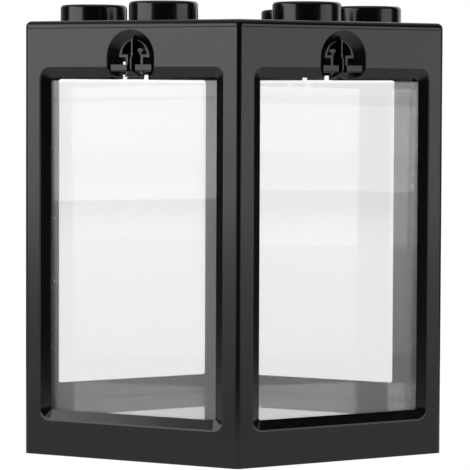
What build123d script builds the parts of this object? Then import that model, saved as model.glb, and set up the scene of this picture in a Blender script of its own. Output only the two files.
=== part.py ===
from build123d import *
from math import cos, radians, sin, sqrt
import os

# Hexagonal desktop aquarium, in millimetres. A moulded six-sided housing with a bevelled
# window in every face holds a clear drafted water tank. A flat lid with six round studs
# closes it, and the base has six rings that take the studs of another unit below.
# +Z is up, the origin is at the middle of the underside, one upright edge points along -Y
# and two of the six faces look along +X and -X.

# Body
side = 83.5
body_height = 150.0
edge_radius = 2.2
wall = 1.8
fit_gap = 0.2
apothem = side * sqrt(3) / 2
face_angles = [0, 60, 120, 180, 240, 300]
face_names = ["right", "back_right", "back_left", "left", "front_left", "front_right"]

# Lid and studs
lid_thickness = 2.5
lid_top_radius = 2.0
stud_radius = 12.0
stud_height = 7.0
stud_circle_radius = 49.6
stud_count = 6
stud_wall = 1.6
stud_rib = 1.4
stud_top_radius = 1.3
skirt_depth = 4.0
skirt_wall = 1.6
skirt_gap_depth = 10.0
skirt_gap_width = 24.0
parting_chamfer = 0.12
parting_z = body_height - lid_thickness

# Feeding hatch in the lid
hatch_radius = 24.0
hatch_plate = 1.3
hatch_throat_radius = 20.5
hatch_skirt_depth = 3.2
hatch_skirt_wall = 1.4
hatch_gap = 0.25
grip_length = 26.0
grip_width = 4.0
grip_height = 1.8
vent_length = 9.0
vent_width = 2.0
vent_circle_radius = 13.0
vent_count = 6

# Windows
window_side_margin = 5.75
bottom_rail = 12.2
top_rail = 16.05
window_top = body_height - top_rail
window_corner_radius = 3.9
bevel_depth = 1.5
bevel_side_width = 3.5
bevel_top_width = 3.25
bevel_bottom_width = 3.5
sill_corner_radius = 0.9
rim_ease_share = 0.08

# Base plate and stud rings on its underside
base_underside = 7.3
base_thickness = 0.8
seat_height = 0.3
seat_width = 3.0
ledge_height = 1.2
ledge_width = 1.6
ring_wall = 1.5
ring_gap = 0.1
ring_foot_gap = 0.5
rib_thickness = 1.4

# Water tank
tank_wall = 1.1
tank_floor = 0.9
tank_top_drop = 1.1
tank_top = window_top - bevel_top_width - tank_top_drop
tank_draft_gap = 1.2
tank_corner_radius = 2.0
tank_gap = 0.15

# Arched clip sockets in the top rail of every face
arch_radius = 9.4
arch_spring_z = window_top + 3.55
arch_shoulder_z = window_top - 1.65
slot_inner = 3.4
slot_outer = 5.9
socket_gap = 0.1
socket_lip = 0.5
socket_lift = 0.1
socket_bottom = window_top - bevel_top_width + socket_lift
funnel_depth = 2.6
funnel_small_radius = 5.9
socket_back = 3.8
cover_wall = 0.9
dome_base_z = arch_spring_z + cover_wall
dome_mouth_radius = 4.9
dome_tip_radius = 2.2
dome_depth = 4.0
niche_depth = 3.0
bar_bottom = window_top - 1.4
bar_height = 2.4
bar_inner = 1.65
bar_outer = 7.9
bar_root = 6.9
bar_recess = 0.4
bar_depth = 1.0
rib_width = 0.5
rib_low_recess = 0.25
rib_high_recess = 1.0
rib_step_z = arch_spring_z + 0.6
rib_step_height = 1.2
rib_overrun = 0.4
nub_radius = 0.45
nub_proud = 0.1
foot_apex_z = window_top - 0.95
foot_root = 0.4


def face_plane(angle, depth=0.0):
    """Plane on a face of the housing: x along the face, y up, z outward."""
    reach = apothem - depth
    a = radians(angle)
    return Plane(
        origin=(reach * cos(a), reach * sin(a), 0),
        x_dir=(-sin(a), cos(a), 0),
        z_dir=(cos(a), sin(a), 0),
    )


def hexagon(inset, corner):
    """Hexagon parallel to the body's outline and inset from it, with rounded corners."""
    RegularPolygon(radius=(apothem - inset) * 2 / sqrt(3), side_count=6, rotation=30)
    fillet(vertices(), corner)


def border_section(share):
    """Width, height, mid height and corner radius of a window part way down its border."""
    width = side - 2 * (window_side_margin + share * bevel_side_width)
    top = window_top - share * bevel_top_width
    bottom = bottom_rail + share * bevel_bottom_width
    radius = window_corner_radius + share * (sill_corner_radius - window_corner_radius)
    return width, top - bottom, (top + bottom) / 2, radius


def bevel_cutter(angle):
    """Tapered cutter that opens one window, with a sloping border and an eased outer rim."""
    slope = [(-rim_ease_share, 0), (rim_ease_share, rim_ease_share * bevel_depth), (1, bevel_depth)]
    with BuildPart() as cutter:
        for share, depth in slope:
            width, height, middle, radius = border_section(share)
            with BuildSketch(face_plane(angle, depth)):
                with Locations((0, middle)):
                    RectangleRounded(width, height, radius)
        loft(ruled=True)
        with BuildSketch(face_plane(angle, bevel_depth)):
            with Locations((0, middle)):
                RectangleRounded(width, height, radius)
        extrude(amount=-(wall + ledge_width))
    return cutter.part


def arch_outline(radius, shrink, bottom):
    """Arch profile: a round top on straight sides that turn in to the clip slots."""
    shoulder = (radius, arch_shoulder_z)
    toe = (slot_outer - shrink, bottom)
    with BuildSketch() as outline:
        with BuildLine():
            CenterArc((0, arch_spring_z), radius, 0, 180)
            Polyline(
                (radius, arch_spring_z),
                shoulder,
                toe,
                (-toe[0], bottom),
                (-shoulder[0], shoulder[1]),
                (-radius, arch_spring_z),
            )
        make_face()
    return outline.sketch_local


def round_top_outline(radius):
    """Round top on straight sides that run down past the bottom of the socket."""
    low = socket_bottom - arch_radius
    with BuildSketch() as outline:
        with BuildLine():
            CenterArc((0, arch_spring_z), radius, 0, 180)
            Polyline((radius, arch_spring_z), (radius, low), (-radius, low), (-radius, arch_spring_z))
        make_face()
    return outline.sketch_local


def half_dome(angle, thickness):
    """Half of a blunt cone that closes the top of the funnel from behind."""
    base = dome_base_z - thickness
    mouth = dome_mouth_radius + thickness
    tip = dome_tip_radius + thickness
    with BuildPart() as dome:
        for radius, depth in ((mouth, funnel_depth), (tip, funnel_depth + dome_depth + thickness)):
            with BuildSketch(face_plane(angle, depth)):
                with Locations((0, dome_base_z)):
                    Circle(radius)
                with Locations((0, base)):
                    Rectangle(4 * mouth, 2 * mouth, align=(Align.CENTER, Align.MAX), mode=Mode.SUBTRACT)
        loft(ruled=True)
    return dome.part


def bevel_wedge(angle):
    """Wedge of air in front of the slope of the window's top border."""
    reach = 2 * bevel_top_width
    depth = bevel_depth * reach / bevel_top_width
    a = radians(angle)
    middle = Vector(cos(a), sin(a), 0) * apothem
    along = Vector(-sin(a), cos(a), 0)
    profile = Plane(origin=middle - along * side / 4, x_dir=(cos(a), sin(a), 0), z_dir=(along.X, along.Y, 0))
    height = profile.y_dir.Z
    with BuildPart() as wedge:
        with BuildSketch(profile):
            Polygon(
                (0, height * window_top),
                (-depth, height * (window_top - reach)),
                (reach, height * (window_top - reach)),
                (reach, height * window_top),
                align=None,
            )
        extrude(amount=side / 2)
    return wedge.part


# Outer shell: one six-sided moulding, open at the top and at the bottom
with BuildPart() as outer_shell:
    with BuildSketch(Plane.XY):
        hexagon(0, edge_radius)
        with BuildSketch(mode=Mode.SUBTRACT):
            hexagon(wall, edge_radius)
    extrude(amount=parting_z)
    chamfer(faces().sort_by(Axis.Z)[-1].outer_wire().edges(), parting_chamfer)
    with BuildSketch(Plane.XY.offset(base_underside - ledge_height)):
        hexagon(wall / 2, edge_radius)
        with BuildSketch(mode=Mode.SUBTRACT):
            hexagon(wall + ledge_width, edge_radius)
    extrude(amount=ledge_height)
    for angle in face_angles:
        add(bevel_cutter(angle), mode=Mode.SUBTRACT)
        with BuildSketch(face_plane(angle)):
            add(arch_outline(arch_radius, 0, socket_bottom - socket_lip))
        extrude(amount=-(wall + fit_gap), mode=Mode.SUBTRACT)
outer_shell.part.label = "outer_shell"

# Base plate: stands on the shell's ledge and carries the tank on a low seat round its edge;
# the rings below take six studs
with BuildPart() as base_plate:
    with BuildSketch(Plane.XY.offset(base_underside)):
        hexagon(wall + fit_gap, edge_radius)
    extrude(amount=base_thickness)
    with BuildSketch(Plane.XY.offset(base_underside + base_thickness)):
        hexagon(wall + fit_gap, edge_radius)
        with BuildSketch(mode=Mode.SUBTRACT):
            hexagon(wall + fit_gap + seat_width, edge_radius)
    extrude(amount=seat_height)
    with BuildSketch(Plane.XY.offset(ring_foot_gap)):
        with PolarLocations(stud_circle_radius, stud_count):
            Circle(stud_radius + ring_gap + ring_wall)
            Circle(stud_radius + ring_gap, mode=Mode.SUBTRACT)
    extrude(amount=base_underside - ring_foot_gap)
    with BuildSketch(Plane.XY.offset(base_underside / 2)):
        hub_reach = stud_circle_radius - stud_radius - ring_gap - ring_wall / 2
        with PolarLocations(hub_reach / 2, stud_count):
            Rectangle(hub_reach, rib_thickness)
    extrude(amount=base_underside / 2)
base_plate.part.label = "base_plate"

# Water tank: one clear moulding, drafted so that it narrows a little towards its floor
tank_bottom = base_underside + base_thickness + seat_height
tank_top_inset = wall + tank_gap
tank_bottom_inset = tank_top_inset + tank_draft_gap
with BuildPart() as water_tank:
    with BuildSketch(Plane.XY.offset(tank_bottom)):
        hexagon(tank_bottom_inset, tank_corner_radius)
    with BuildSketch(Plane.XY.offset(tank_top)):
        hexagon(tank_top_inset, tank_corner_radius)
    loft(ruled=True)
    with BuildSketch(Plane.XY.offset(tank_bottom + tank_floor)):
        hexagon(tank_bottom_inset + tank_wall, tank_corner_radius)
    with BuildSketch(Plane.XY.offset(tank_top + tank_floor)):
        hexagon(tank_top_inset + tank_wall, tank_corner_radius)
    loft(ruled=True, mode=Mode.SUBTRACT)
water_tank.part.label = "water_tank"

# Lid: a flat plate with a rounded rim, six hollow ribbed studs and a broken locating skirt
with BuildPart() as lid:
    with BuildSketch(Plane.XY.offset(parting_z)):
        hexagon(0, edge_radius)
    extrude(amount=lid_thickness)
    chamfer(faces().sort_by(Axis.Z)[0].outer_wire().edges(), parting_chamfer)
    fillet(faces().sort_by(Axis.Z)[-1].outer_wire().edges(), lid_top_radius)
    with BuildSketch(Plane.XY.offset(body_height)):
        with PolarLocations(stud_circle_radius, stud_count):
            Circle(stud_radius)
    extrude(amount=stud_height)
    fillet(faces().sort_by(Axis.Z)[-stud_count:].edges(), stud_top_radius)
    with BuildSketch(Plane.XY.offset(parting_z)):
        with PolarLocations(stud_circle_radius, stud_count):
            Circle(stud_radius - stud_wall)
            Rectangle(2 * stud_radius, stud_rib, mode=Mode.SUBTRACT)
            Rectangle(stud_rib, 2 * stud_radius, mode=Mode.SUBTRACT)
    extrude(amount=lid_thickness + stud_height - stud_wall, mode=Mode.SUBTRACT)
    with BuildSketch(Plane.XY.offset(parting_z)):
        hexagon(wall + fit_gap, edge_radius)
        with BuildSketch(mode=Mode.SUBTRACT):
            hexagon(wall + fit_gap + skirt_wall, edge_radius)
        with PolarLocations(apothem, len(face_angles)):
            Rectangle(skirt_gap_depth, skirt_gap_width, mode=Mode.SUBTRACT)
    extrude(amount=-skirt_depth)
    with BuildSketch(Plane.XY.offset(body_height)):
        Circle(hatch_radius + hatch_gap)
    extrude(amount=-hatch_plate, mode=Mode.SUBTRACT)
    with BuildSketch(Plane.XY.offset(body_height)):
        Circle(hatch_throat_radius + hatch_gap)
    extrude(amount=-lid_thickness, mode=Mode.SUBTRACT)
lid.part.label = "lid"

# Feeding hatch: a round cap that drops into the step in the middle of the lid
with BuildPart() as feeding_hatch:
    with BuildSketch(Plane.XY.offset(body_height - hatch_plate)):
        Circle(hatch_radius)
    extrude(amount=hatch_plate)
    with BuildSketch(Plane.XY.offset(body_height)):
        SlotOverall(grip_length, grip_width)
    extrude(amount=grip_height)
    fillet(faces().sort_by(Axis.Z)[-1].edges(), grip_height / 3)
    with BuildSketch(Plane.XY.offset(body_height - hatch_plate)):
        Circle(hatch_throat_radius)
        Circle(hatch_throat_radius - hatch_skirt_wall, mode=Mode.SUBTRACT)
    extrude(amount=-hatch_skirt_depth)
    with BuildSketch(Plane.XY.offset(body_height)):
        with PolarLocations(vent_circle_radius, vent_count, start_angle=30):
            SlotOverall(vent_length, vent_width, rotation=90)
    extrude(amount=-hatch_plate, mode=Mode.SUBTRACT)
feeding_hatch.part.label = "feeding_hatch"


def build_clip_socket(angle, name):
    """Moulded insert behind one arch: funnel, niche, slots, two bars, rib and foot."""
    face = face_plane(angle)
    plug_radius = arch_radius - socket_gap
    back = face_plane(angle, wall)
    with BuildPart() as socket:
        with BuildSketch(face.offset(-socket_gap)):
            add(arch_outline(plug_radius, socket_gap, socket_bottom))
        extrude(amount=-(wall - socket_gap))
        with BuildSketch(back):
            with Locations((0, arch_spring_z)):
                Circle(arch_radius + socket_lip)
            flange_height = arch_spring_z - socket_bottom
            with Locations((0, arch_spring_z)):
                Rectangle(2 * (arch_radius + socket_lip), flange_height, align=(Align.CENTER, Align.MAX))
            with Locations((0, socket_bottom)):
                Rectangle(4 * arch_radius, arch_radius, align=(Align.CENTER, Align.MAX), mode=Mode.SUBTRACT)
        extrude(amount=-(socket_back - wall))
        # Closed cover behind the arch: a tapering half dome over a narrow niche
        add(half_dome(angle, cover_wall), mode=Mode.ADD)
        with BuildSketch(face.offset(-funnel_depth)):
            with Locations((0, bar_bottom)):
                niche_outer_height = dome_base_z - bar_bottom
                Rectangle(2 * slot_inner, niche_outer_height, align=(Align.CENTER, Align.MIN))
        extrude(amount=-(niche_depth + cover_wall))
        add(half_dome(angle, 0), mode=Mode.SUBTRACT)
        with BuildSketch(face.offset(-funnel_depth)):
            with Locations((0, bar_bottom + cover_wall)):
                niche_width = 2 * (slot_inner - cover_wall)
                niche_height = dome_base_z - bar_bottom - cover_wall / 2
                Rectangle(niche_width, niche_height, align=(Align.CENTER, Align.MIN))
        extrude(amount=-niche_depth, mode=Mode.SUBTRACT)
        # The funnel opens forward, so everything in front of it goes with it
        add(funnel_cutter(angle), mode=Mode.SUBTRACT)
        slot_width = slot_outer - slot_inner
        for hand in (-1, 1):
            with BuildSketch(face):
                with Locations((hand * (slot_inner + slot_width / 2), arch_spring_z)):
                    Rectangle(slot_width, 2 * arch_radius, align=(Align.CENTER, Align.MAX))
            extrude(amount=-4 * socket_back, mode=Mode.SUBTRACT)
        # Two cross bars just behind the face plane, rooted in the funnel's sides
        bar_middle = bar_bottom + bar_height / 2
        for hand in (-1, 1):
            with BuildSketch(face.offset(-bar_recess)):
                with Locations((hand * (bar_inner + bar_outer) / 2, bar_middle)):
                    Rectangle(bar_outer - bar_inner, bar_height)
            extrude(amount=-bar_depth)
            with BuildSketch(face.offset(-bar_recess)):
                with Locations((hand * (slot_outer + bar_root) / 2, bar_middle)):
                    Rectangle(bar_root - slot_outer, bar_height)
            extrude(amount=-(funnel_depth - bar_recess))
        # Thin upright rib in two steps with a small nub between them
        rib_low_top = rib_step_z - rib_step_height / 2
        with BuildSketch(face.offset(-rib_low_recess)):
            with Locations((0, rib_low_top)):
                rib_low_height = rib_low_top - foot_apex_z + 2 * foot_root
                Rectangle(rib_width, rib_low_height, align=(Align.CENTER, Align.MAX))
        extrude(amount=-(niche_depth + funnel_depth - rib_low_recess + cover_wall / 2))
        rib_top = arch_spring_z + funnel_small_radius + rib_overrun
        with BuildSketch(face.offset(-rib_high_recess)):
            with Locations((0, rib_top)):
                rib_high_height = rib_top - rib_step_z - rib_step_height
                Rectangle(rib_width, rib_high_height, align=(Align.CENTER, Align.MAX))
        extrude(amount=-(funnel_depth + dome_depth / 2 - rib_high_recess))
        with BuildSketch(face.offset(-rib_high_recess)):
            with Locations((0, rib_step_z)):
                Rectangle(rib_width, 2 * rib_step_height + rib_overrun / 2)
        extrude(amount=-(funnel_depth + niche_depth - rib_high_recess))
        with BuildSketch(face.offset(nub_proud - rib_high_recess)):
            with Locations((0, rib_step_z + rib_overrun)):
                Circle(nub_radius)
        extrude(amount=-funnel_depth)
        # Foot between the slots: a wedge whose front lies in the window's bevel
        with BuildSketch(face):
            foot = [(-slot_inner, socket_bottom), (slot_inner, socket_bottom), (0, foot_apex_z)]
            Polygon(*foot, align=None)
        extrude(amount=-funnel_depth)
        add(bevel_wedge(angle), mode=Mode.SUBTRACT)
    socket.part.label = name
    return socket


def funnel_cutter(angle):
    """Arched funnel that narrows from the face plane to the niche behind it."""
    front = arch_radius - 2 * socket_gap
    with BuildPart() as cutter:
        with BuildSketch(face_plane(angle, socket_gap)):
            add(round_top_outline(front))
        with BuildSketch(face_plane(angle, funnel_depth)):
            add(round_top_outline(funnel_small_radius))
        loft(ruled=True)
        with BuildSketch(face_plane(angle, socket_gap)):
            add(round_top_outline(front))
        extrude(amount=1)
    return cutter.part


clip_sockets = []
for angle, name in zip(face_angles, face_names):
    clip_sockets.append(build_clip_socket(angle, "clip_socket_" + name))

os.makedirs("parts", exist_ok=True)
for piece in [outer_shell, base_plate, water_tank, lid, feeding_hatch] + clip_sockets:
    export_step(piece.part, "parts/" + piece.part.label + ".step")
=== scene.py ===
import math

import bpy
from mathutils import Matrix, Vector


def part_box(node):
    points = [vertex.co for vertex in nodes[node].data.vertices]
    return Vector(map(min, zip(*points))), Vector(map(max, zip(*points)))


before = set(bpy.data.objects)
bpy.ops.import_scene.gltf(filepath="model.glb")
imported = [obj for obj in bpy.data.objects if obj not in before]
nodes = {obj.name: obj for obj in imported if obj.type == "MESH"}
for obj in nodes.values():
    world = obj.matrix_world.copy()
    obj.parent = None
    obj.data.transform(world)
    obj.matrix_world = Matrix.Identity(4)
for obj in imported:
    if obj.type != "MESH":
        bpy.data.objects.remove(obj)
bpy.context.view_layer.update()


# Outer shell
# One six-sided injection moulding in glossy black ABS with a window in every face.
# It comes out of a polished steel mould, so it is smooth, with a slight long wave in the walls,
# a few hairline scuffs from handling, and fine dust.

BLACK_ABS = (0.0018, 0.0018, 0.0020, 1.0)
DUST_COLOUR = (0.32, 0.31, 0.29, 1.0)
ABS_IOR = 1.52
ABS_ROUGHNESS = 0.13
WALL_WAVE_M = 0.030
SMEAR_SIZE_M = 0.015
SMEAR_NOISE = (0.3, 0.75)
SMEAR_ROUGHNESS = 0.05
SCUFF_LENGTH_M = 0.020
SCUFF_STRETCH = (24.0, 24.0, 1.0)
SCUFF_LINE_NOISE = (0.66, 0.72)
SCUFF_PATCH_NOISE = (0.52, 0.66)
SCUFF_DEPTH_SHARE = 0.01
DUST_GRAIN_M = 0.0004
DUST_NOISE = (0.70, 0.78)

# Sockets of a Mix node: its share, its two numbers, and its two colours with their result
MIX_SHARE = 0
MIX_NUMBERS = (2, 3)
MIX_COLOURS = (6, 7)
MIX_COLOUR_RESULT = 2


def add_socket(group, name, direction):
    """Numeric input or output of a node group."""
    group.interface.new_socket(name=name, in_out=direction, socket_type="NodeSocketFloat")


def feed(tree, value, socket):
    """Sets a socket to a number, or links it to the output that drives it."""
    if isinstance(value, (int, float)):
        socket.default_value = value
    else:
        tree.links.new(value, socket)


def own_coordinates(tree):
    """The piece's own coordinates in metres."""
    return tree.nodes.new("ShaderNodeTexCoord").outputs["Object"]


def noise_node(tree, coordinates, size_m, detail, roughness=0.5, stretch=(1.0, 1.0, 1.0)):
    """Noise whose grains are size_m across, and finer along an axis that is stretched."""
    mapping = tree.nodes.new("ShaderNodeMapping")
    mapping.inputs["Scale"].default_value = [factor * (1.0 / size_m) for factor in stretch]
    tree.links.new(coordinates, mapping.inputs["Vector"])
    noise = tree.nodes.new("ShaderNodeTexNoise")
    noise.inputs["Scale"].default_value = 1.0
    noise.inputs["Detail"].default_value = detail
    noise.inputs["Roughness"].default_value = roughness
    tree.links.new(mapping.outputs["Vector"], noise.inputs["Vector"])
    return noise.outputs["Fac"]


def range_node(tree, value, span, to_low=0.0, to_high=1.0):
    """Value that goes from to_low to to_high as the driving one crosses the span."""
    node = tree.nodes.new("ShaderNodeMapRange")
    node.inputs["From Min"].default_value = span[0]
    node.inputs["From Max"].default_value = span[1]
    node.inputs["To Min"].default_value = to_low
    node.inputs["To Max"].default_value = to_high
    tree.links.new(value, node.inputs["Value"])
    return node.outputs["Result"]


def math_node(tree, operation, *values):
    """One step of arithmetic on numbers or on other nodes' outputs."""
    node = tree.nodes.new("ShaderNodeMath")
    node.operation = operation
    for index, value in enumerate(values):
        feed(tree, value, node.inputs[index])
    return node.outputs["Value"]


def build_moulded_finish():
    """Group: long wave, scuffs and dust of a polished moulding, as roughness, dust and height."""
    group = bpy.data.node_groups.new("moulded_finish", "ShaderNodeTree")
    for name in ("Roughness", "Scuffs", "Dust"):
        add_socket(group, name, "INPUT")
    for name in ("Roughness", "Dust Mask", "Height"):
        add_socket(group, name, "OUTPUT")
    entry = group.nodes.new("NodeGroupInput")
    leave = group.nodes.new("NodeGroupOutput")
    place = own_coordinates(group)

    wave = noise_node(group, place, WALL_WAVE_M, detail=2.0)
    cloud = noise_node(group, place, SMEAR_SIZE_M, detail=4.0, roughness=0.6)
    smear = range_node(group, cloud, SMEAR_NOISE, 0.0, SMEAR_ROUGHNESS)

    lines = noise_node(
        group, place, SCUFF_LENGTH_M, detail=3.0, roughness=0.55, stretch=SCUFF_STRETCH
    )
    scuffs = math_node(
        group, "MULTIPLY",
        range_node(group, lines, SCUFF_LINE_NOISE),
        range_node(group, cloud, SCUFF_PATCH_NOISE),
    )
    scuff_roughness = math_node(group, "MULTIPLY", scuffs, entry.outputs["Scuffs"])
    scuff_height = math_node(group, "MULTIPLY", scuffs, -SCUFF_DEPTH_SHARE)

    specks = range_node(group, noise_node(group, place, DUST_GRAIN_M, detail=1.0), DUST_NOISE)
    dust = math_node(group, "MULTIPLY", specks, entry.outputs["Dust"])

    rough = math_node(group, "ADD", entry.outputs["Roughness"], smear)
    rough = math_node(group, "ADD", rough, scuff_roughness)
    height = math_node(group, "ADD", wave, scuff_height)
    group.links.new(rough, leave.inputs["Roughness"])
    group.links.new(dust, leave.inputs["Dust Mask"])
    group.links.new(height, leave.inputs["Height"])
    return group


moulded_finish = build_moulded_finish()


def moulded_black(name, roughness, scuffs, dust, wave_m):
    """Glossy black moulded plastic: the finish group drives roughness, dust and a slight wave."""
    material = bpy.data.materials.new(name)
    material.use_nodes = True
    tree = material.node_tree
    shader = tree.nodes["Principled BSDF"]
    shader.inputs["IOR"].default_value = ABS_IOR
    finish = tree.nodes.new("ShaderNodeGroup")
    finish.node_tree = moulded_finish
    finish.inputs["Roughness"].default_value = roughness
    finish.inputs["Scuffs"].default_value = scuffs
    finish.inputs["Dust"].default_value = dust
    tree.links.new(finish.outputs["Roughness"], shader.inputs["Roughness"])

    tint = tree.nodes.new("ShaderNodeMix")
    tint.data_type = "RGBA"
    tree.links.new(finish.outputs["Dust Mask"], tint.inputs[MIX_SHARE])
    for socket, colour in zip(MIX_COLOURS, (BLACK_ABS, DUST_COLOUR)):
        tint.inputs[socket].default_value = colour
    tree.links.new(tint.outputs[MIX_COLOUR_RESULT], shader.inputs["Base Color"])

    bump = tree.nodes.new("ShaderNodeBump")
    bump.inputs["Distance"].default_value = wave_m
    bump.inputs["Strength"].default_value = 1.0
    tree.links.new(finish.outputs["Height"], bump.inputs["Height"])
    tree.links.new(bump.outputs["Normal"], shader.inputs["Normal"])
    return material


def dress(node, material):
    """Gives a carried-over solid its finish."""
    mesh = nodes[node].data
    mesh.materials.clear()
    mesh.materials.append(material)


shell_black = moulded_black(
    "shell_black_abs", roughness=ABS_ROUGHNESS, scuffs=0.12, dust=0.03, wave_m=0.00006
)
dress("outer_shell", shell_black)


# Base plate
# A thinner moulding in the same black ABS with six rings below that take the studs
# of another unit. It stands on the shell's ledge and carries the tank. It is seldom seen, so
# its mould is less polished.

base_black = moulded_black(
    "base_black_abs", roughness=0.22, scuffs=0.18, dust=0.05, wave_m=0.00004
)
dress("base_plate", base_black)


# Lid and feeding hatch
# The lid is a flat moulded cap in black ABS with a rounded rim and six hollow round studs.
# The round hatch, of the same plastic, drops into a step in the lid's middle and lifts out.

lid_black = moulded_black(
    "lid_black_abs", roughness=ABS_ROUGHNESS, scuffs=0.16, dust=0.05, wave_m=0.00005
)
dress("lid", lid_black)
hatch_black = moulded_black(
    "hatch_black_abs", roughness=0.16, scuffs=0.20, dust=0.05, wave_m=0.00004
)
dress("feeding_hatch", hatch_black)


# Clip sockets
# Six small black ABS inserts behind the arches of the top rail. A funnel leads to two slots,
# with two cross bars, a thin rib and a foot between the slots.

SOCKET_SIDES = ("right", "back_right", "back_left", "left", "front_left", "front_right")

socket_black = moulded_black(
    "socket_black_abs", roughness=0.17, scuffs=0.05, dust=0.03, wave_m=0.00002
)
for socket_side in SOCKET_SIDES:
    dress("clip_socket_" + socket_side, socket_black)


# Water tank
# One clear plastic cup with drafted walls. It is polished inside and out, with a faint haze,
# and with tiny bubbles and marks close to its upright corners.

CLEAR_TINT = (0.985, 0.99, 0.99, 1.0)
CLEAR_IOR = 1.49
CLEAR_SHARE = 0.92
HAZE_SIZE_M = 0.045
HAZE_NOISE = (0.35, 0.75)
HAZE_ROUGHNESS = 0.02
CORNER_INSET_M = 0.003
CORNER_FADE_M = 0.005
BUBBLE_M = 0.0011
BUBBLE_CLUSTER_M = BUBBLE_M * 4
BUBBLE_EDGE = (0.26, 0.12)
BUBBLE_CLUSTER_NOISE = (0.60, 0.66)
BUBBLE_ROUGHNESS = 0.5


def split_axes(tree, vector):
    """The three coordinates of a place or a direction, as separate values."""
    split = tree.nodes.new("ShaderNodeSeparateXYZ")
    tree.links.new(vector, split.inputs[0])
    return split.outputs


def level_distance(tree, axes):
    """Distance from the upright line through the middle of the object."""
    square = math_node(
        tree, "ADD",
        math_node(tree, "POWER", axes[0], 2.0),
        math_node(tree, "POWER", axes[1], 2.0),
    )
    return math_node(tree, "SQRT", square)


def build_corner_marks():
    """Group: small bubbles that gather near the tank's upright corners, as a mask."""
    group = bpy.data.node_groups.new("corner_marks", "ShaderNodeTree")
    add_socket(group, "Corner Distance", "INPUT")
    add_socket(group, "Mask", "OUTPUT")
    entry = group.nodes.new("NodeGroupInput")
    leave = group.nodes.new("NodeGroupOutput")
    place = own_coordinates(group)

    reach = level_distance(group, split_axes(group, place))
    past_corner = math_node(group, "SUBTRACT", reach, entry.outputs["Corner Distance"])
    near_corner = range_node(group, past_corner, (-CORNER_FADE_M, 0.0))

    cells = group.nodes.new("ShaderNodeTexVoronoi")
    cells.inputs["Scale"].default_value = 1.0 / BUBBLE_M
    group.links.new(place, cells.inputs["Vector"])
    clusters = noise_node(group, place, BUBBLE_CLUSTER_M, detail=2.0)
    bubbles = math_node(
        group, "MULTIPLY",
        range_node(group, cells.outputs["Distance"], BUBBLE_EDGE),
        range_node(group, clusters, BUBBLE_CLUSTER_NOISE),
    )
    mask = math_node(group, "MULTIPLY", bubbles, near_corner)
    group.links.new(mask, leave.inputs["Mask"])
    return group


def clear_plastic():
    """Clear polished plastic: refracting, faintly hazy, with marks at the corners."""
    material = bpy.data.materials.new("tank_clear_plastic")
    material.use_nodes = True
    tree = material.node_tree
    shader = tree.nodes["Principled BSDF"]
    shader.inputs["Transmission Weight"].default_value = CLEAR_SHARE
    shader.inputs["IOR"].default_value = CLEAR_IOR
    shader.inputs["Base Color"].default_value = CLEAR_TINT
    tank_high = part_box("water_tank")[1]
    marks = tree.nodes.new("ShaderNodeGroup")
    marks.node_tree = build_corner_marks()
    marks.inputs["Corner Distance"].default_value = tank_high[1] - CORNER_INSET_M

    cloud = noise_node(tree, own_coordinates(tree), HAZE_SIZE_M, detail=3.0)
    haze = range_node(tree, cloud, HAZE_NOISE, 0.0, HAZE_ROUGHNESS)
    marked = math_node(tree, "MULTIPLY", marks.outputs["Mask"], BUBBLE_ROUGHNESS)
    tree.links.new(math_node(tree, "ADD", haze, marked), shader.inputs["Roughness"])
    return material


dress("water_tank", clear_plastic())


# Paper floor
# A wide pale paper that the tank stands on, and that the camera sees white. Where the plastic
# mirrors it, it glows with painted light and shade: pale close to the tank and on both lit sides,
# and dark elsewhere. Through the tank it glows white with painted light, brighter close by.

FLOOR_HALF_M = 6.0
FLOOR_CORNER_SIGNS = ((-1, -1), (1, -1), (1, 1), (-1, 1))
FLOOR_GAP_M = 0.0002
FLOOR_GREY = 0.62
FLOOR_SEEN = 0.96
FLOOR_SHADOW_SHARE = 0.12
# Painted light and shade of the floor, as the plastic mirrors it
FLOOR_MIRRORED_NEAR = 0.65
FLOOR_MIRRORED_FAR = 0.95
FLOOR_MIRRORED_SPAN_M = (0.2, 1.3)
FLOOR_PAINTED_SHADE = 0.06
FLOOR_PAINTED_LIGHT_SIDEWAYS = (0.40, 0.65)
FLOOR_PAINTED_LIGHT_BACKWARD = (0.15, -0.10)
FLOOR_PAINTED_LIGHT_CLOSE_M = (0.35, 0.15)
# Painted light of the floor seen through the tank, brighter close by
FLOOR_THROUGH_NEAR = 1.10
FLOOR_THROUGH_FAR = 0.94
FLOOR_THROUGH_SPAN_M = (1.3, 2.2)
FLOOR_THROUGH_BACKWARD = (0.3, 0.6)


def mix_values(tree, share, first, second):
    """Value that goes from first to second as share goes from 0 to 1."""
    node = tree.nodes.new("ShaderNodeMix")
    feed(tree, share, node.inputs[MIX_SHARE])
    for socket, value in zip(MIX_NUMBERS, (first, second)):
        feed(tree, value, node.inputs[socket])
    return node.outputs[0]


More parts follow.
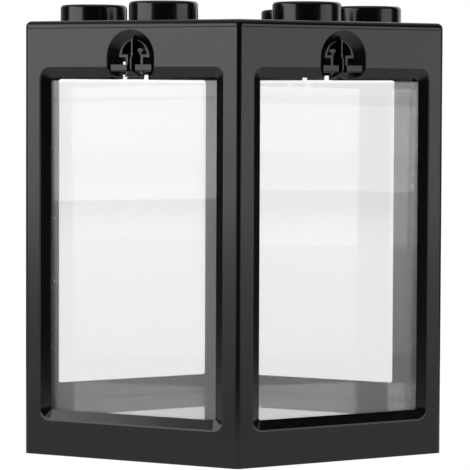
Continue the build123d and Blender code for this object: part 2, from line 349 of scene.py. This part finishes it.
def painted_floor_light(tree, rays):
    """Painted light and shade of the floor where the plastic mirrors it, and painted light where
    the tank lets it through.
    """
    axes = split_axes(tree, own_coordinates(tree))
    distance = level_distance(tree, axes)
    sideways = math_node(tree, "ABSOLUTE", math_node(tree, "DIVIDE", axes[0], distance))
    backward = math_node(tree, "DIVIDE", axes[1], distance)

    # Painted light on both lit sides and close to the tank, painted shade elsewhere, as the
    # plastic mirrors the floor
    lit = math_node(
        tree, "MULTIPLY",
        range_node(tree, sideways, FLOOR_PAINTED_LIGHT_SIDEWAYS),
        range_node(tree, backward, FLOOR_PAINTED_LIGHT_BACKWARD),
    )
    lit = math_node(tree, "MAXIMUM", lit, range_node(tree, distance, FLOOR_PAINTED_LIGHT_CLOSE_M))
    pale = mix_values(
        tree, range_node(tree, distance, FLOOR_MIRRORED_SPAN_M),
        FLOOR_MIRRORED_NEAR, FLOOR_MIRRORED_FAR,
    )
    mirrored = mix_values(tree, lit, FLOOR_PAINTED_SHADE, pale)

    # Painted light seen through the tank: a white glow, brighter close by
    through = range_node(
        tree, distance, FLOOR_THROUGH_SPAN_M, FLOOR_THROUGH_NEAR, FLOOR_THROUGH_FAR
    )
    seen_through = math_node(
        tree, "MULTIPLY",
        rays.outputs["Is Transmission Ray"],
        range_node(tree, backward, FLOOR_THROUGH_BACKWARD),
    )
    return mix_values(tree, seen_through, mirrored, through)


def floor_paper():
    """Matt pale paper that also glows, by a different share for each kind of ray; the glow in
    reflections and through the tank is painted light and shade.
    """
    material = bpy.data.materials.new("floor_paper")
    material.use_nodes = True
    tree = material.node_tree
    tree.nodes.remove(tree.nodes["Principled BSDF"])
    rays = tree.nodes.new("ShaderNodeLightPath")
    seen = rays.outputs["Is Camera Ray"]
    bounced = math_node(
        tree, "MAXIMUM", rays.outputs["Is Glossy Ray"], rays.outputs["Is Transmission Ray"]
    )

    glow = tree.nodes.new("ShaderNodeEmission")
    painted_bounced_light = math_node(tree, "MULTIPLY", bounced, painted_floor_light(tree, rays))
    tree.links.new(
        mix_values(tree, seen, painted_bounced_light, FLOOR_SEEN), glow.inputs["Strength"]
    )

    matt = tree.nodes.new("ShaderNodeBsdfDiffuse")
    grey = mix_values(tree, bounced, FLOOR_GREY, 0.0)
    grey = mix_values(tree, seen, grey, FLOOR_SHADOW_SHARE)
    level = tree.nodes.new("ShaderNodeCombineColor")
    for channel in level.inputs:
        tree.links.new(grey, channel)
    tree.links.new(level.outputs[0], matt.inputs["Color"])

    both = tree.nodes.new("ShaderNodeAddShader")
    tree.links.new(glow.outputs[0], both.inputs[0])
    tree.links.new(matt.outputs[0], both.inputs[1])
    tree.links.new(both.outputs[0], tree.nodes["Material Output"].inputs["Surface"])
    return material


floor_mesh = bpy.data.meshes.new("studio_floor")
floor_mesh.from_pydata(
    [(x * FLOOR_HALF_M, y * FLOOR_HALF_M, -FLOOR_GAP_M) for x, y in FLOOR_CORNER_SIGNS],
    [],
    [(0, 1, 2, 3)],
)
floor_mesh.materials.append(floor_paper())
floor = bpy.data.objects.new("studio_floor", floor_mesh)
bpy.context.scene.collection.objects.link(floor)


# Studio surround
# White walls and ceiling all round. The camera and the clear tank see them white. The black
# plastic mirrors the part behind the object and the part overhead, and the rest stays dark.

SURROUND_COLOUR = (1.0, 1.0, 1.0, 1.0)
SURROUND_SEEN = 1.0
SURROUND_LIGHT = 0.55
SURROUND_DARK_SIDE = 0.025
SURROUND_BACKWARD = (0.45, 0.70)
SURROUND_THROUGH = 0.95
SURROUND_THROUGH_FRONT = 0.50
SURROUND_BEHIND_WIDTH = (-0.6, 0.6)
SURROUND_BEHIND_LEFT = 0.25
SURROUND_BEHIND_RIGHT = 1.0
SURROUND_OVERHEAD = 0.6
SURROUND_OVERHEAD_RISE = (0.64, 0.95)

world = bpy.data.worlds.new("studio_surround")
bpy.context.scene.world = world
world.use_nodes = True
sky = world.node_tree
sky_rays = sky.nodes.new("ShaderNodeLightPath")
wall_direction = split_axes(sky, sky.nodes.new("ShaderNodeTexCoord").outputs["Generated"])
behind = range_node(sky, wall_direction[1], SURROUND_BACKWARD)
backdrop = range_node(
    sky, wall_direction[0], SURROUND_BEHIND_WIDTH, SURROUND_BEHIND_LEFT, SURROUND_BEHIND_RIGHT
)
ceiling = range_node(sky, wall_direction[2], SURROUND_OVERHEAD_RISE, 0.0, SURROUND_OVERHEAD)
mirrored_walls = mix_values(sky, behind, SURROUND_DARK_SIDE, backdrop)
mirrored_walls = math_node(sky, "MAXIMUM", mirrored_walls, ceiling)
walls_through = mix_values(sky, behind, SURROUND_THROUGH_FRONT, SURROUND_THROUGH)

wall_light = mix_values(
    sky, sky_rays.outputs["Is Glossy Ray"], SURROUND_LIGHT, mirrored_walls
)
wall_light = mix_values(
    sky, sky_rays.outputs["Is Transmission Ray"], wall_light, walls_through
)
wall_light = mix_values(sky, sky_rays.outputs["Is Camera Ray"], wall_light, SURROUND_SEEN)
background = sky.nodes["Background"]
background.inputs["Color"].default_value = SURROUND_COLOUR
sky.links.new(wall_light, background.inputs["Strength"])


# Soft lights
# One large softbox on each side of the camera and a low strip at the foot of each. A second
# box stands above the left one, turned further round to the side.

LEFT_SIDE = (-0.9205, -0.3907)
LEFT_TOP_SIDE = (-0.9976, -0.0698)
RIGHT_SIDE = (0.900, -0.435)
LEFT_DISTANCE_M = 1.5
RIGHT_DISTANCE_M = 1.7
LEFT_WIDTH_M = 1.5
LEFT_TOP_WIDTH_M = 1.16
RIGHT_WIDTH_M = 1.3
SOFTBOX_LOW_M = 0.10
FOOT_LOW_M = 0.01
FOOT_HEIGHT_M = 0.09


def softbox(name, side, distance, width, height, low, radiance):
    """Upright soft light that faces the object, left out of what the camera sees directly."""
    lamp = bpy.data.lights.new(name, "AREA")
    lamp.shape = "RECTANGLE"
    lamp.size = width
    lamp.size_y = height
    lamp.energy = radiance * math.pi * width * height
    holder = bpy.data.objects.new(name, lamp)
    bpy.context.scene.collection.objects.link(holder)
    outward = Vector((side[0], side[1], 0.0)).normalized()
    holder.location = outward * distance + Vector((0.0, 0.0, low + height / 2))
    holder.rotation_euler = outward.to_track_quat("Z", "Y").to_euler()
    holder.visible_camera = False


softbox(
    "soft_light_left", LEFT_SIDE, LEFT_DISTANCE_M, LEFT_WIDTH_M,
    height=0.80, low=SOFTBOX_LOW_M, radiance=2.35,
)
softbox(
    "soft_light_left_top", LEFT_TOP_SIDE, LEFT_DISTANCE_M, LEFT_TOP_WIDTH_M,
    height=0.45, low=0.90, radiance=2.0,
)
softbox(
    "soft_light_left_foot", LEFT_SIDE, LEFT_DISTANCE_M, LEFT_WIDTH_M,
    height=FOOT_HEIGHT_M, low=FOOT_LOW_M, radiance=1.45,
)
softbox(
    "soft_light_right", RIGHT_SIDE, RIGHT_DISTANCE_M, RIGHT_WIDTH_M,
    height=0.65, low=SOFTBOX_LOW_M, radiance=1.5,
)
softbox(
    "soft_light_right_foot", RIGHT_SIDE, RIGHT_DISTANCE_M, RIGHT_WIDTH_M,
    height=FOOT_HEIGHT_M, low=FOOT_LOW_M, radiance=0.95,
)


# Camera
# A long lens below the lid's height, a little to the left of the front edge and tipped slightly
# down. Its place and its angles come from fitting the picture's edges to a six-sided prism.

PICTURE_PX = 470
FOCAL_PX = 2711.0
SENSOR_MM = 36.0
CAMERA_DISTANCE_M = 0.9832
CAMERA_HEIGHT_M = 0.1234
CAMERA_TURN = math.radians(-1.885)
CAMERA_YAW = math.radians(-0.10)
CAMERA_PITCH = math.radians(2.869)
CAMERA_ROLL = math.radians(0.241)

lens = bpy.data.cameras.new("camera")
lens.sensor_width = SENSOR_MM
lens.lens = SENSOR_MM * FOCAL_PX / PICTURE_PX
camera = bpy.data.objects.new("camera", lens)
bpy.context.scene.collection.objects.link(camera)
bpy.context.scene.camera = camera
heading = CAMERA_TURN + CAMERA_YAW
ahead = Vector((-math.sin(heading), math.cos(heading), 0.0)) * math.cos(CAMERA_PITCH)
ahead -= Vector((0.0, 0.0, math.sin(CAMERA_PITCH)))
level_right = Vector((math.cos(heading), math.sin(heading), 0.0))
level_up = level_right.cross(ahead)
right = level_right * math.cos(CAMERA_ROLL) + level_up * math.sin(CAMERA_ROLL)
up = level_up * math.cos(CAMERA_ROLL) - level_right * math.sin(CAMERA_ROLL)
turn = Matrix((right, up, -ahead)).transposed().to_4x4()
spot = Vector((math.sin(CAMERA_TURN), -math.cos(CAMERA_TURN), 0.0)) * CAMERA_DISTANCE_M
camera.matrix_world = Matrix.Translation(spot + Vector((0.0, 0.0, CAMERA_HEIGHT_M))) @ turn

bpy.context.scene.view_settings.view_transform = "Standard"
